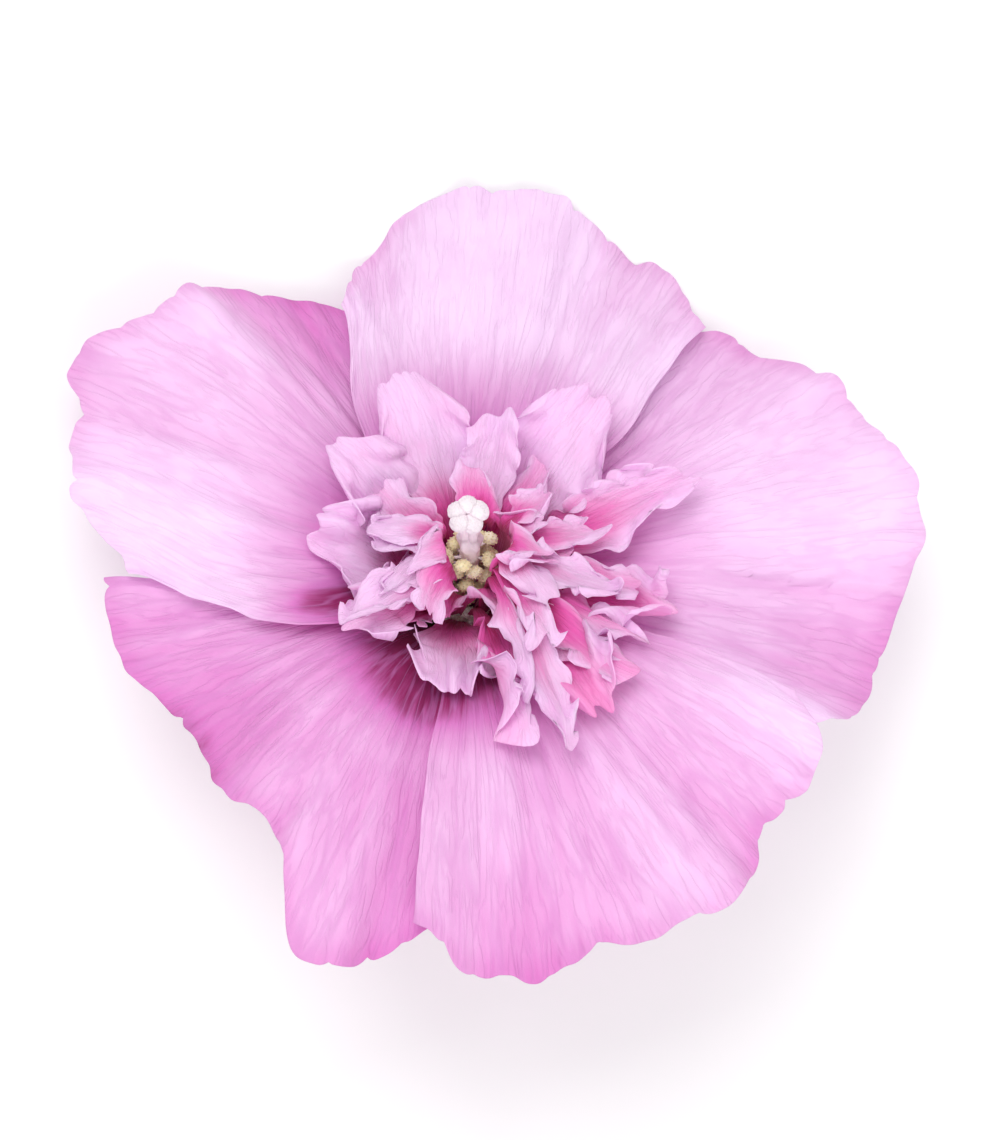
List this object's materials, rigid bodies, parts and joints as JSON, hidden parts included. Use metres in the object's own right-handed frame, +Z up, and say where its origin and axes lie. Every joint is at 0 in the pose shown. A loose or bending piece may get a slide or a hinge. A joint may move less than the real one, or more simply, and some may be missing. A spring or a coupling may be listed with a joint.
{
  "type": "hibiscus flower",
  "caption": "Picked semi-double hibiscus bloom with broad waved pink petals, ruffled inner petals, pale column, green calyx and short cut stem, lying face up.",
  "frame": {"origin": "on the table under the middle of the flower's outline", "axes": "+Z up from the table, +X towards the flower's left as it is seen from its face with the top petal up, and -Y towards the top petal, which leans down to the table"},
  "size_m": [0.1119, 0.0994, 0.0554],
  "materials": {
    "petal": "soft, slightly translucent pale pink petal",
    "petaloid": "soft, slightly translucent deeper pink petaloid",
    "column": "matt cream white, grainy with pollen",
    "sepal": "matt green, finely downy",
    "stem": "matt green brown young bark"
  },
  "bodies": {
    "root": {"petal_top": "petal", "petal_left": "petal", "petal_lower_left": "petal", "petal_lower_right": "petal", "petal_right": "petal", "petaloid_heart": "petaloid", "column": "column", "calyx": "sepal", "epicalyx": "sepal", "stem": "stem"}
  },
  "joints": []
}
